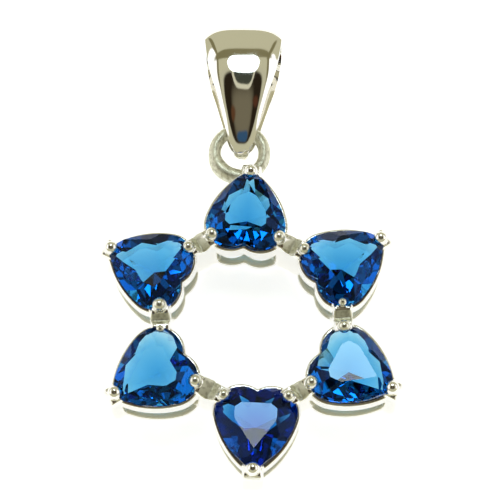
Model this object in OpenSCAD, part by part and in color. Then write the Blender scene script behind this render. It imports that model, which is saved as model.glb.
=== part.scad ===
// Six-stone star pendant: heart-cut stones in open two-rail baskets, a soldered ring and a tapered bail.
// It lies on its back: X across, +Y towards the bail, +Z out of the front, millimetres.

/* [Stones] */
// Width of a heart-cut stone across its two lobes
stone_w = 5; // [4.6:0.05:5.6]
// Length of a stone from the back of its lobes to its tip
stone_l = 5.2; // [4.8:0.05:5.6]
// Radius of each lobe of the heart
lobe_r = 1.56; // [1.4:0.02:1.7]
// Radius of the long side between a lobe and the tip
side_r = 5.5; // [4.5:0.1:7]
// Height of the crown above the girdle
crown_h = 0.8; // [0.5:0.05:1.1]
// Thickness of the girdle
girdle_h = 0.08; // [0.04:0.02:0.2]
// Depth of the pavilion of a stone of usual depth, below the girdle
pavilion_h = 1.95; // [1.3:0.05:2.3]
// Distance of the culet, and of the table's middle above it, from the tip
culet_back = 3.05; // [2.6:0.05:3.2]
// Width of the table
table_w = 2.55; // [2.2:0.05:3]
// Farthest that a stone leans in its basket, in degrees
stone_lean = 5; // [0:0.5:6]

/* [Baskets] */
// Farthest that a basket stands from its regular place in the star
seat_play = 0.15; // [0:0.05:0.2]
// Height of the girdle above the base the pendant rests on
girdle_z = 3.7; // [3.3:0.05:4.2]
// How far the rails stand outside the stone
rail_over = 0.2; // [0.12:0.02:0.3]
// Thickness of the rail walls
rail_t = 0.6; // [0.45:0.05:0.8]
// Height of the upper rail, under the girdle
upper_rail_h = 1.25; // [1:0.05:1.6]
// Height of the lower rail, on the base
lower_rail_h = 0.65; // [0.5:0.05:0.9]
// How far the upper rail's edge lies below the girdle
rail_drop = 0.12; // [0.04:0.02:0.2]
// Clearance between a stone and the metal cut to seat it
seat_gap = 0.03; // [0.02:0.01:0.06]

/* [Prongs] */
// Width of a prong across its outer face
prong_w = 1.3; // [0.9:0.05:1.4]
// How far a prong stands outside the stone
prong_out = 0.66; // [0.55:0.02:0.8]
// How far a prong reaches in under the stone
prong_in = 0.3; // [0.2:0.05:0.45]
// Thickness of the tip prongs outside the stone
tip_out = 0.5; // [0.4:0.05:0.7]
// Radius of the bead that holds the stone
bead_r = 0.44; // [0.36:0.02:0.52]
// How far the middle of a bead lies inside the stone's edge
bead_in = 0.16; // [0.05:0.02:0.3]
// Height of the middle of a bead above the girdle
bead_up = 0.42; // [0.3:0.02:0.6]
// Farthest that a joined pair of prongs stands in from the middle of the gap it fills
pair_in = 0.4; // [0:0.05:0.4]
// Depth of the groove between two joined prongs, below the girdle
valley_h = 0.2; // [0.1:0.1:1.2]
// How far a prong's flat top reaches out past the stone's edge, under the bead
shoulder_out = 0.25; // [0.15:0.05:0.35]
// Height of that flat top above the girdle
shoulder_up = 0.1; // [0.05:0.05:0.25]
// Radius of the prongs' upright edges
prong_edge_r = 0.2; // [0.1:0.05:0.3]

/* [Ring] */
// Outer diameter of the soldered ring
ring_od = 4; // [3.6:0.1:4.4]
// Diameter of its wire
ring_wire = 0.8; // [0.6:0.02:0.86]
// Height of the ring's wire above the base
ring_z = 2.3; // [2:0.05:2.6]
// How far the ring's wire is sunk into the tip prong
ring_sunk = 0.45; // [0.2:0.05:0.55]
// How far the ring sits to the left of the top tip
ring_left = 0.4; // [0:0.1:0.6]

/* [Bail] */
// Width of the bail at its broad end
bail_w = 5; // [4:0.05:5.4]
// Length of the bail from end to end
bail_l = 9.4; // [8:0.1:10]
// Depth of the broad end, from front to back
bail_d = 4.3; // [4:0.1:4.8]
// Depth of the narrow end, from front to back
bail_tip_d = 1.7; // [1.65:0.05:2]
// Thickness of the bail's wall at its edges
bail_t = 0.42; // [0.35:0.01:0.45]
// Rise of the domed face across the broad end
bail_dome = 0.5; // [0.3:0.05:0.7]
// How much of that rise the inside follows
bail_hollow = 0.35; // [0.2:0.05:0.5]
// Radius of the long curve of the front between the two ends, seen from the side
bail_front_r = 9; // [8:0.5:14]
// Radius of the flatter long curve of the back
bail_back_r = 25; // [14:1:40]
// How far the bail's narrow end lies below the middle of the ring
bail_slack = 0.45; // [0.3:0.05:0.7]
// How far the bail has slid along the ring, to the right
bail_slide = 0.2; // [0:0.05:0.25]
// Lean of the bail to the right, in degrees
bail_lean = 2.5; // [-3:0.5:3]

/* [Hidden] */

SEATS = 6;
STEP = 360 / SEATS;
// Hand-set place of each setting, from the top one round to the left
// Columns: shift outwards and shift anticlockwise, as shares of seat_play, then turn in degrees
SEAT_SET = [[-0.7, 0, -7], [1, 0.7, 3.5], [-0.3, -1, -1], [-0.7, 0.7, -5], [1, 0.3, 1], [-0.3, -0.7, 2]];
// Hand-set lean and cut of each stone, in the same order
// Columns: lean towards +Y and lean to the right, as shares of stone_lean, then a share of pavilion_h
STONE_SET = [[0, 0, 1], [-0.2, 0, 1], [-0.6, 0, 0.9], [1, 0, 1.2], [0.94, -0.2, 0.92], [0.2, 0, 1]];
// Joined pair of prongs after each setting
// Columns: place towards the star's centre, as a share of pair_in, then the first prong's share of the gap
PAIR_SET = [[0.2, 0.6], [0.6, 0.62], [1, 0.58], [0.8, 0.4], [0.3, 0.38], [0.5, 0.42]];
// Facets along half of a stone's outline: first the side from the tip, then the lobe to the notch
SIDE_FACETS = 3;
LOBE_FACETS = 5;
FACETS = 2 * (SIDE_FACETS + LOBE_FACETS);
// Middle ring of the crown, as shares of the way from table to girdle and of the crown's height
STAR_RUN = 0.5;
STAR_RISE = 0.62;
// Middle ring of the pavilion, as shares of the way from culet to girdle and of the depth
MAIN_RUN = 0.3;
MAIN_DROP = 0.76;
// Width of the bail along its length, as shares of its length and of its widest width
BAIL_WIDTHS = [[0, 0.12], [0.05, 0.2], [0.1, 0.31], [0.17, 0.4], [0.29, 0.52], [0.44, 0.68],
    [0.59, 0.85], [0.74, 0.96], [0.86, 1], [1, 0.96]];
// How square the bail's domed section is: 2 is a plain arch, and more is flatter with steeper edges
BAIL_POWER = 3.5;
// Points round the bail: each end's arc, each long side and the domed side of each section
BAIL_BIG_N = 16;
BAIL_TIP_N = 9;
BAIL_SIDE_N = 10;
BAIL_DOME_N = 10;
// Overlap that fuses two joined prongs
FUSE = 0.05;
// Width of a prong beside the girdle, as a share of its width below
NECK = 0.8;
// Width of the second prong of a joined pair, as a share of prong_w: their edges then cross cleanly
SECOND_W = 0.94;

lobe_v = stone_w / 2 - lobe_r;
tip_u = stone_l - lobe_r;
middle_u = tip_u - stone_l / 2;
culet_u = tip_u - culet_back;
// Distance of the lobes from the star's centre, so that two prongs fill the gap between two stones
lobe_ring_r = 2 * (lobe_r + prong_out + lobe_v * cos(STEP / 2));
tip_ring_r = lobe_ring_r + tip_u;
table_z = girdle_z + girdle_h + crown_h;

ring_r = (ring_od - ring_wire) / 2;
ring_y = tip_ring_r + tip_out - ring_sunk + ring_r;

// The bail's ends, along its own length from its narrow end
bail_big_y = bail_l - bail_d / 2;
bail_big_r = bail_d / 2 - bail_dome - bail_t / 2;
bail_tip_end = bail_tip_d / 2;
bail_tip_r = bail_tip_d / 2 - bail_dome * BAIL_WIDTHS[0][1] - bail_t / 2;
// Where the ring's wire passes through it, and the pitch that lays its broad end on the base
bail_hold = ring_r + bail_slack;
bail_pitch = asin((bail_d / 2 - ring_z) / (bail_big_y - bail_hold));
bail_far_y = ring_y - bail_slack + bail_l;
// The frame's origin is under the middle of the whole pendant
star_y = (tip_ring_r + tip_out - bail_far_y) / 2;

function turned(p, a) = [p.x * cos(a) - p.y * sin(a), p.x * sin(a) + p.y * cos(a)];
function between(a, b, share) = a + (b - a) * share;

// Centre of the long side's arc, which meets the lobe smoothly and ends at the tip
function side_centre() =
    let (reach = norm([tip_u, lobe_v]))
    let (dir = [tip_u, -lobe_v] / reach)
    let (gap_r = side_r - lobe_r)
    let (along = (gap_r * gap_r - side_r * side_r + reach * reach) / (2 * reach))
    let (off = sqrt(gap_r * gap_r - along * along))
    [0, lobe_v] + along * dir + off * [dir.y, -dir.x];

// Half of a heart's outline from tip to notch, with the outline moved out by grow
function heart_half(grow) =
    let (sides = 2 * SIDE_FACETS)
    let (lobes = 2 * LOBE_FACETS)
    let (c = side_centre())
    let (meet = atan2(lobe_v - c.y, -c.x))
    let (far_r = side_r + grow)
    let (near_r = lobe_r + grow)
    let (tip_a = asin(-c.y / far_r))
    let (notch_a = 180 + asin(lobe_v / near_r))
    concat(
        [for (k = [0 : sides - 1])
            let (a = tip_a + (meet - tip_a) * k / sides)
            c + far_r * [cos(a), sin(a)]],
        [for (k = [0 : lobes])
            let (a = meet + (notch_a - meet) * k / lobes)
            [0, lobe_v] + near_r * [cos(a), sin(a)]]);

// The whole outline, tip first, then anticlockwise
function heart(grow) =
    let (half = heart_half(grow))
    concat(half, [for (k = [len(half) - 2 : -1 : 1]) [half[k].x, -half[k].y]]);

// Place of a setting's lobes along and across its own ray of the star
function seat_shift(i) = [lobe_ring_r + seat_play * SEAT_SET[i][0], seat_play * SEAT_SET[i][1]];
// A point of a heart's own plan, placed at its seat in the star
function seated(i, p) =
    let (middle = [middle_u, 0])
    turned(turned(p - middle, SEAT_SET[i][2]) + middle + seat_shift(i), 90 + STEP * i);
function lobe_point(i, side) = seated(i, [0, side * lobe_v]);
function raised(points, z) = [for (p = points) [p.x, p.y, z]];

module to_frame() {
    translate([0, star_y, 0])
        children();
}

module at_seat(i) {
    rotate(90 + STEP * i)
        translate(seat_shift(i) + [middle_u, 0])
            rotate(SEAT_SET[i][2])
                translate([-middle_u, 0])
                    children();
}

// A faceted heart: table, star and girdle facets above, main and girdle facets below, down to depth
module gem(grow, depth) {
    n = FACETS;
    edge = heart(grow);
    middle = [culet_u, 0];
    table_share = (table_w / 2 + grow) / (stone_w / 2 + grow);
    corners = [for (k = [0 : n - 1]) edge[2 * k]];
    halves = [for (k = [0 : n - 1]) edge[2 * k + 1]];
    table = [for (p = corners) between(middle, p, table_share)];
    stars = [for (p = halves) between(between(middle, p, table_share), p, STAR_RUN)];
    mains = [for (p = halves) between(middle, p, MAIN_RUN)];
    top = girdle_z + girdle_h;
    points = concat(
        raised(table, table_z + grow),
        raised(stars, top + grow + crown_h * STAR_RISE),
        raised(edge, top + grow),
        raised(edge, girdle_z - grow),
        raised(mains, girdle_z - grow - depth * MAIN_DROP),
        raised([middle], girdle_z - grow - depth));
    star0 = n;
    top0 = 2 * n;
    low0 = 4 * n;
    main0 = 6 * n;
    culet = 7 * n;
    faces = concat(
        [[for (k = [0 : n - 1]) (n - k) % n]],
        [for (k = [0 : n - 1]) [k, (k + 1) % n, star0 + k]],
        [for (k = [0 : n - 1]) [k, star0 + k, top0 + 2 * k]],
        [for (k = [0 : n - 1]) [(k + 1) % n, top0 + (2 * k + 2) % (2 * n), star0 + k]],
        [for (k = [0 : n - 1]) [star0 + k, top0 + 2 * k + 1, top0 + 2 * k]],
        [for (k = [0 : n - 1]) [star0 + k, top0 + (2 * k + 2) % (2 * n), top0 + 2 * k + 1]],
        [for (k = [0 : 2 * n - 1]) [top0 + k, top0 + (k + 1) % (2 * n), low0 + k]],
        [for (k = [0 : 2 * n - 1]) [top0 + (k + 1) % (2 * n), low0 + (k + 1) % (2 * n), low0 + k]],
        [for (k = [0 : n - 1]) [main0 + k, low0 + 2 * k, low0 + 2 * k + 1]],
        [for (k = [0 : n - 1]) [main0 + k, low0 + 2 * k + 1, low0 + (2 * k + 2) % (2 * n)]],
        [for (k = [0 : n - 1]) [culet, low0 + 2 * k, main0 + k]],
        [for (k = [0 : n - 1]) [culet, main0 + k, low0 + (2 * k + 2) % (2 * n)]]);
    polyhedron(points, faces);
}

// Stone i in its place in the star, grown by grow on every side, with the lean it was set with
module set_stone(i, grow) {
    p = seated(i, [middle_u, 0]);
    lean = stone_lean * STONE_SET[i];
    translate([p.x, p.y, girdle_z])
        rotate([-lean[0], 0, 0])
            rotate([0, lean[1], 0])
                translate([-p.x, -p.y, -girdle_z])
                    at_seat(i)
                        gem(grow, pavilion_h * STONE_SET[i][2]);
}

module stone_at(i) {
    color("mediumblue")
        to_frame()
            set_stone(i, 0);
}

// One rail of a basket, from z_low to z_high
module rail(z_low, z_high) {
    translate([0, 0, z_low])
        linear_extrude(z_high - z_low)
            difference() {
                polygon(heart(rail_over));
                polygon(heart(rail_over - rail_t));
            }
}

// A prong whose stone edge is at the origin: out is how far it stands along +X
module prong(out, wide) {
    mid_w = wide / 2 - prong_edge_r;
    hull() {
        for (x = [prong_edge_r - prong_in, out - prong_edge_r], y = [-mid_w, mid_w])
            translate([x, y, 0])
                cylinder(h = girdle_z - valley_h, r = prong_edge_r, $fn = 12);
        translate([-bead_r, -wide * NECK / 2, girdle_z])
            cube([bead_r + shoulder_out, wide * NECK, shoulder_up]);
    }
    translate([-bead_in, 0, girdle_z + bead_up])
        sphere(r = bead_r, $fn = 16);
}

// The two prongs that stand back to back between setting i and the next one
module joined_prongs(i) {
    a = lobe_point(i, 1);
    b = lobe_point((i + 1) % SEATS, -1);
    heading = atan2(b.y - a.y, b.x - a.x);
    dir = (b - a) / norm(b - a);
    inward = PAIR_SET[i][0] * pair_in * [-dir.y, dir.x];
    run = sqrt(lobe_r * lobe_r - inward * inward);
    edge_a = a + dir * run + inward;
    edge_b = b - dir * run + inward;
    gap = norm(edge_b - edge_a);
    share = PAIR_SET[i][1];
    translate([edge_a.x, edge_a.y, 0])
        rotate(heading)
            prong(gap * share + FUSE, prong_w);
    translate([edge_b.x, edge_b.y, 0])
        rotate(heading + 180)
            prong(gap * (1 - share) + FUSE, prong_w * SECOND_W);
}

module basket(i) {
    at_seat(i) {
        rail(0, lower_rail_h);
        rail(girdle_z - rail_drop - upper_rail_h, girdle_z - rail_drop);
        translate([tip_u, 0, 0])
            prong(tip_out, prong_w);
    }
}

module jump_ring() {
    translate([-ring_left, ring_y, ring_z])
        rotate_extrude($fn = 32)
            translate([ring_r, 0])
                circle(d = ring_wire, $fn = 10);
}

module star_setting() {
    color("silver")
        to_frame()
            union() {
                difference() {
                    for (i = [0 : SEATS - 1]) {
                        basket(i);
                        joined_prongs(i);
                    }
                    for (i = [0 : SEATS - 1])
                        set_stone(i, seat_gap);
                }
                jump_ring();
            }
}

// Middle of the bail's wall at its edges, seen from the side: an egg of four arcs that meet smoothly
// Each ring is a place along the bail, a height and the outward direction
function bail_ring(y, z, a) = [y, z, cos(a), sin(a)];
function bail_arc(c, r, from, to, n) =
    [for (k = [0 : n - 1])
        let (a = between(from, to, k / n))
        bail_ring(c.x + r * cos(a), c.y + r * sin(a), a)];
// Centre of the long arc of radius r that both end arcs touch from inside, for the front half
function bail_side(r) =
    let (gap = bail_big_y - bail_tip_end)
    let (to_big = r - bail_big_r)
    let (to_tip = r - bail_tip_r)
    let (u = (to_tip * to_tip - to_big * to_big - gap * gap) / (2 * gap))
    [bail_big_y + u, -sqrt(to_big * to_big - u * u)];
function bail_path() =
    let (big = [bail_big_y, 0])
    let (tip = [bail_tip_end, 0])
    let (front = bail_side(bail_front_r))
    let (back = bail_side(bail_back_r))
    let (front_0 = atan2(big.y - front.y, big.x - front.x))
    let (front_1 = atan2(tip.y - front.y, tip.x - front.x))
    let (back_0 = atan2(big.y - back.y, big.x - back.x))
    let (back_1 = atan2(tip.y - back.y, tip.x - back.x))
    concat(
        bail_arc(big, bail_big_r, -back_0, front_0, BAIL_BIG_N),
        bail_arc(front, bail_front_r, front_0, front_1, BAIL_SIDE_N),
        bail_arc(tip, bail_tip_r, front_1, 360 - back_1, BAIL_TIP_N),
        bail_arc([back.x, -back.y], bail_back_r, 360 - back_1, 360 - back_0, BAIL_SIDE_N));
// One section of the bail: the domed outside, then the inside back again
function bail_section(ring) =
    let (share = lookup(ring[0] / bail_l, BAIL_WIDTHS))
    let (half = bail_w * share / 2)
    let (out = [for (k = [0 : BAIL_DOME_N]) sin(between(-90, 90, k / BAIL_DOME_N))])
    let (rise = [for (x = out) bail_dome * share * (1 - pow(abs(x), BAIL_POWER))])
    concat(
        [for (k = [0 : BAIL_DOME_N]) bail_point(ring, half * out[k], bail_t / 2 + rise[k])],
        [for (k = [BAIL_DOME_N : -1 : 0])
            bail_point(ring, half * out[k], bail_hollow * rise[k] - bail_t / 2)]);
function bail_point(ring, x, off) = [x, ring[0] + off * ring[2], ring[1] + off * ring[3]];

module bail() {
    rings = [for (r = bail_path()) bail_section(r)];
    n = len(rings);
    m = len(rings[0]);
    faces = [for (i = [0 : n - 1], j = [0 : m - 1])
        let (a = i * m + j)
        let (b = i * m + (j + 1) % m)
        let (c = ((i + 1) % n) * m + (j + 1) % m)
        let (d = ((i + 1) % n) * m + j)
        each [[a, b, c], [a, c, d]]];
    color("silver")
        to_frame()
            translate([bail_slide - ring_left, ring_y + ring_r, ring_z])
                rotate([bail_pitch, 0, -bail_lean])
                    translate([0, -bail_hold, 0])
                        polyhedron([for (r = rings) each r], faces);
}

module stone_top() { stone_at(0); }
module stone_upper_left() { stone_at(1); }
module stone_lower_left() { stone_at(2); }
module stone_bottom() { stone_at(3); }
module stone_lower_right() { stone_at(4); }
module stone_upper_right() { stone_at(5); }

star_setting();
bail();
stone_top();
stone_upper_left();
stone_lower_left();
stone_bottom();
stone_lower_right();
stone_upper_right();
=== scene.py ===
# %% [markdown]
# A pendant lies on its back: six blue heart-cut stones sit in open baskets that are soldered into
# a star, and a tapered bail hangs on the star's ring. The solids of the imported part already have
# their final sizes, so this lesson gives them their looks and moves nothing. It loads them first
# and notes how large they are, because no piece made here may reach past that box.

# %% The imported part
import math

import bmesh
import bpy
from mathutils import Matrix, Vector


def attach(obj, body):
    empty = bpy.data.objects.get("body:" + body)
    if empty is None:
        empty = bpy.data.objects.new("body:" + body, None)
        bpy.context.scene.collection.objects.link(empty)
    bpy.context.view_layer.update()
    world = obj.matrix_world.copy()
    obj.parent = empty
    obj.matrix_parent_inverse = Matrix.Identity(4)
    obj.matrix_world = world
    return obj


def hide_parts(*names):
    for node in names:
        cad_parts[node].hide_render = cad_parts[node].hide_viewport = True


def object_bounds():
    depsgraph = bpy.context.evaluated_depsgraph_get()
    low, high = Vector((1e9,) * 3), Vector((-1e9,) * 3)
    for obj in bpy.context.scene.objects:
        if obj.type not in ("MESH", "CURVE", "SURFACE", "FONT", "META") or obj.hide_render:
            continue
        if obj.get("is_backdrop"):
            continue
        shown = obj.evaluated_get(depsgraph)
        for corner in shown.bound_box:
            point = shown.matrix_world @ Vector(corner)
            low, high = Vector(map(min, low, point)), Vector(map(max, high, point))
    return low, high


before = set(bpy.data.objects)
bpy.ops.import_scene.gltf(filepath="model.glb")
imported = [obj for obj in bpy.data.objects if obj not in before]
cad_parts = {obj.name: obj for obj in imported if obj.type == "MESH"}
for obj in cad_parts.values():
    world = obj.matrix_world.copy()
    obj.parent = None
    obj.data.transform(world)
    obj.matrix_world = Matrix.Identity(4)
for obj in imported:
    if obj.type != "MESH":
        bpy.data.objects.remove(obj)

cad_low, cad_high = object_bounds()
cad_size = [round(1000 * side, 2) for side in cad_high - cad_low]
print("part:", len(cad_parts), "solids,", cad_size, "mm")

# %% [markdown]
# A jeweller measures in millimetres and the scene is in metres. Every size below is therefore in
# millimetres, the same value that its solid was made from, and a mesh is scaled once when it is
# made. The stones are the smallest whole size of the trade, 5 mm, and everything grows from them.

# %% Sizes of the stones and baskets, in millimetres
MM = 0.001
SEATS = 6
STEP = 360 / SEATS
STONE_W, STONE_L = 5, 5.2
LOBE_R, SIDE_R = 1.56, 5.5
CROWN_H, GIRDLE_H, PAVILION_H = 0.8, 0.08, 1.95
CULET_BACK = 3.05
STONE_LEAN = 5
GIRDLE_Z = 3.7
SEAT_PLAY, SEAT_GAP = 0.15, 0.03
RAIL_OVER, RAIL_T, RAIL_DROP = 0.2, 0.6, 0.12
UPPER_RAIL_H, LOWER_RAIL_H = 1.25, 0.65
PRONG_OUT, TIP_OUT = 0.66, 0.5
LOBE_V = STONE_W / 2 - LOBE_R
TIP_U = STONE_L - LOBE_R
MIDDLE_U = TIP_U - STONE_L / 2
CULET_U = TIP_U - CULET_BACK
LOBE_RING_R = 2 * (LOBE_R + PRONG_OUT + LOBE_V * math.cos(math.radians(STEP / 2)))
TIP_RING_R = LOBE_RING_R + TIP_U
print(f"lobes {LOBE_RING_R:.2f} mm and tips {TIP_RING_R:.2f} mm from the star's centre")

# %% Sizes of the ring and the bail, in millimetres
RING_OD, RING_WIRE, RING_Z = 4, 0.8, 2.3
RING_SUNK, RING_LEFT = 0.45, 0.4
RING_R = (RING_OD - RING_WIRE) / 2
RING_Y = TIP_RING_R + TIP_OUT - RING_SUNK + RING_R
BAIL_W, BAIL_L, BAIL_D, BAIL_TIP_D = 5, 9.4, 4.3, 1.7
BAIL_T, BAIL_DOME, BAIL_HOLLOW = 0.42, 0.5, 0.35
BAIL_FRONT_R, BAIL_BACK_R = 9, 25
BAIL_SLACK, BAIL_SLIDE, BAIL_LEAN = 0.45, 0.2, 2.5
STAR_Y = (TIP_RING_R + TIP_OUT - (RING_Y - BAIL_SLACK + BAIL_L)) / 2
RING_MIDDLE = Vector((-RING_LEFT, STAR_Y + RING_Y, RING_Z))
print(f"star centre at y {STAR_Y:.3f} mm, ring centre at y {RING_MIDDLE.y:.3f} mm")

# %% [markdown]
# The photographer looks down on the lying pendant from about 72 degrees above the table, a hand's
# length away. A long lens keeps the near stones and the far bail in scale. The camera's frame is
# built from three directions: back to the lens, across, and up, which are then rolled a little.

# %% Camera
VIEW_AZ, VIEW_EL, VIEW_ROLL = 0.52, 72.01, -2.18
VIEW_D, LENS = 100.74, 116.4
VIEW_AT = Vector((0.10, 4.34 + STAR_Y, GIRDLE_Z))


def camera_matrix():
    az, el, roll = (math.radians(a) for a in (VIEW_AZ, VIEW_EL, VIEW_ROLL))
    back = Vector((math.sin(az) * math.cos(el), -math.cos(az) * math.cos(el), math.sin(el)))
    right = Vector((math.cos(az), math.sin(az), 0))
    up = back.cross(right)
    x = right * math.cos(roll) + up * math.sin(roll)
    y = up * math.cos(roll) - right * math.sin(roll)
    turn = Matrix((x, y, back)).transposed().to_4x4()
    return Matrix.Translation((VIEW_AT + back * VIEW_D) * MM) @ turn


camera = bpy.data.objects.new("camera", bpy.data.cameras.new("camera"))
camera.data.lens = LENS
camera.data.clip_start, camera.data.clip_end = 0.01, 5
camera.matrix_world = camera_matrix()
bpy.context.scene.collection.objects.link(camera)
bpy.context.scene.camera = camera
print("camera", VIEW_D, "mm away,", VIEW_EL, "degrees up")

# %% [markdown]
# Shaders and shape rules are both node trees, and both are easier to read when a line of code is
# one node. These helpers make a node, fill its sockets with values or links, and hand it back.

# %% Helpers for node trees


def feed(tree, socket, value):
    if isinstance(value, bpy.types.NodeSocket):
        tree.links.new(value, socket)
    else:
        socket.default_value = value


def node(tree, kind, **inputs):
    """A node whose sockets are named by the keywords, with _ for a space."""
    made = tree.nodes.new(kind)
    for name, value in inputs.items():
        feed(tree, made.inputs[name.replace("_", " ")], value)
    return made


def calc(tree, operation, *values, kind="ShaderNodeMath"):
    """One step of arithmetic on numbers, or on vectors if kind says so."""
    made = tree.nodes.new(kind)
    made.operation = operation
    for socket, value in zip(made.inputs, values):
        feed(tree, socket, value)
    return made.outputs[1] if operation == "DOT_PRODUCT" else made.outputs[0]


def ramp(tree, value, start, end, low=0.0, high=1.0):
    """A soft step from low at start to high at end."""
    made = node(tree, "ShaderNodeMapRange", Value=value)
    for name, number in (("From Min", start), ("From Max", end), ("To Min", low), ("To Max", high)):
        feed(tree, made.inputs[name], number)
    made.interpolation_type = "SMOOTHSTEP"
    return made.outputs["Result"]


def blend(tree, share, a, b):
    """Colour a turning into colour b as share goes from 0 to 1."""
    made = tree.nodes.new("ShaderNodeMix")
    made.data_type = "RGBA"
    sockets = [s for s in made.inputs if s.enabled]
    for socket, value in zip(sockets, (share, a, b)):
        feed(tree, socket, value)
    return next(s for s in made.outputs if s.enabled)


print("helpers ready")

# %% [markdown]
# Polished silver has hardly any colour of its own: it shows the room. A small jewel is
# photographed in a tent of cloth, with lamps behind it and a hole for the camera, so the room here
# is a dim warm dome with soft-edged ellipses of light and dark laid on it. Each one is placed by
# the part of the bail that mirrors it, and the top lamp also by the two stones whose tables it
# veils. Real lamps could do this too, but a painted dome gives each reflection its own shape and
# no noise.

# %% A tent of cloth round the pendant
TENT = (0.52, 0.5, 0.34, 1)
WHITE, SHADE = (1, 1, 1), (0.2, 0.18, 0.09)
# Panels: azimuth clockwise from +Y and height, half width and half height, all in degrees, then
# the softness of the edge as a share of the size, the light and its colour
PANELS = {
    "left lamp": (-90, 26, 24, 18, 0.15, 1.3, WHITE),
    "right lamp": (90, 26, 24, 18, 0.15, 1.3, WHITE),
    "left screen": (-62, 31, 18, 14, 0.15, 1.3, WHITE),
    "right screen": (68, 36, 15, 12, 0.15, 1.3, WHITE),
    "left post": (-38, 25, 3, 17, 0.5, 1, SHADE),
    "right post": (43, 31, 3, 15, 0.5, 1, SHADE),
    "seam": (0, 50, 40, 5, 0.3, 1, SHADE),
    "left seam": (-68, 46, 24, 3, 0.3, 1, SHADE),
    "right seam": (68, 46, 24, 3, 0.3, 1, SHADE),
    "hole edge": (180, 80, 48, 36, 0.1, 1, (0.5, 0.48, 0.34)),
    "hole": (180, 80, 36, 32, 0.12, 1, (0.02, 0.014, 0.008)),
    "hole core": (180, 76, 12, 22, 0.8, 1, (0.16, 0.14, 0.09)),
    "warm right": (105, 68, 4, 10, 0.9, 1, (0.08, 0.03, 0.015)),
    "warm left": (225, 72, 5, 7, 0.9, 1, (0.1, 0.045, 0.02)),
    "blue glint": (180, 57, 7, 6, 0.4, 1, (0.03, 0.08, 0.16)),
    "lens rim": (3, 68, 7, 15.5, 0.1, 1, (0.62, 0.6, 0.45)),
    "lens": (3, 68, 5, 12, 0.1, 1, (0.05, 0.055, 0.04)),
    "top lamp": (3, 61, 11, 8.5, 0.1, 5.5, (0.85, 0.97, 1)),
}


def lay_panel(tree, way, colour, az, up, wide, high, soft, light, tint):
    """Lays one soft-edged ellipse of light over colour, as seen along way."""
    a, e = math.radians(az), math.radians(up)
    ahead = Vector((math.sin(a) * math.cos(e), math.cos(a) * math.cos(e), math.sin(e)))
    across = Vector((math.cos(a), -math.sin(a), 0))
    squares = []
    for axis, reach in ((across, wide), (ahead.cross(across), high)):
        scaled = axis / math.sin(math.radians(reach))
        far = calc(tree, "DOT_PRODUCT", way, scaled, kind="ShaderNodeVectorMath")
        squares.append(calc(tree, "POWER", far, 2.0))
    inside = ramp(tree, calc(tree, "ADD", *squares), 1 + soft, 1 - soft)
    facing = calc(tree, "DOT_PRODUCT", way, ahead, kind="ShaderNodeVectorMath")
    share = calc(tree, "MULTIPLY", inside, calc(tree, "GREATER_THAN", facing, 0.0))
    return blend(tree, share, colour, (*[light * c for c in tint], 1))


world = bpy.data.worlds.new("tent")
world.use_nodes = True
bpy.context.scene.world = world
sky = world.node_tree
sky.nodes.clear()
way = node(sky, "ShaderNodeTexCoord").outputs["Generated"]
colour = TENT
for panel in PANELS.values():
    colour = lay_panel(sky, way, colour, *panel)
glow = node(sky, "ShaderNodeBackground", Color=colour)
node(sky, "ShaderNodeOutputWorld", Surface=glow.outputs[0])
bpy.context.scene.view_settings.view_transform = "Standard"
print("tent panels:", ", ".join(PANELS))

# %% [markdown]
# The pendant lies on a lit table, a sheet of milky glass with lamps under it. That is why the
# background is pure white, no shadow falls and the thin stones glow from below. Lamps under a real
# sheet would need many rays to shine through it. A plain sheet with a little light of its own does
# the same.

# %% A lit table
TABLE_HALF, TABLE_Z = 400, -0.01
TABLE_WHITE, TABLE_ROUGH = (0.9, 0.9, 0.9, 1), 0.9
TABLE_GLOW = (0.68, 0.69, 0.7, 1)


def mesh_from(name, points, faces):
    mesh = bpy.data.meshes.new(name)
    mesh.from_pydata([Vector(p) * MM for p in points], [], faces)
    return mesh


def add_object(name, mesh):
    made = bpy.data.objects.new(name, mesh)
    bpy.context.scene.collection.objects.link(made)
    return made


def new_material(name):
    made = bpy.data.materials.new(name)
    made.use_nodes = True
    return made, made.node_tree, made.node_tree.nodes["Principled BSDF"]


signs = ((-1, -1), (1, -1), (1, 1), (-1, 1))
corners = [(x * TABLE_HALF, y * TABLE_HALF, TABLE_Z) for x, y in signs]
table = add_object("lit_table", mesh_from("lit_table", corners, [(0, 1, 2, 3)]))
milk, _, milk_shader = new_material("milky glass")
milk_shader.inputs["Base Color"].default_value = TABLE_WHITE
milk_shader.inputs["Roughness"].default_value = TABLE_ROUGH
milk_shader.inputs["Emission Color"].default_value = TABLE_GLOW
milk_shader.inputs["Emission Strength"].default_value = 1
table.data.materials.append(milk)
table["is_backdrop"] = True
print("table", 2 * TABLE_HALF, "mm square")

# %% [markdown]
# The bail is buffed to a mirror. A wheel can't reach between the stones, so the cast star is less
# even: its ring is satin all round, its joined prongs are satin on top and their beads nearly so,
# and the tops of its low rails stay dull. These satin and dull places are also given an olive
# colour, which is painted shade, for the dim warm tent that the satin places mirror and for the
# shade that the dull tops sit in. Both metals are one shader with other numbers. Noise in the
# object's own coordinates varies the roughness, the flecks and a shallow bump. The height and the
# way a face looks are enough to find the dull tops, but not to tell a prong from a rail, so each
# point of the mesh carries a value that says how satin it is and how much painted shade it gets.

# %% Silver, bright and as cast
SILVER = (0.93, 0.915, 0.87, 1)
# Satin places: rougher, with an olive colour that is painted shade for the dim tent they mirror
SATIN_PAINTED_SHADE, SATIN_ROUGH = (0.8, 0.79, 0.65, 1), 0.44
FLECK_SILVER, FLECKS = (0.4, 0.38, 0.27, 1), 0.6
# Dull rail tops: rough and partly diffuse, with an olive colour that is painted shade
DULL_PAINTED_SHADE, DULL_ROUGH = (0.9, 0.88, 0.7, 1), 0.5
DULL_METAL = 0.3
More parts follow.
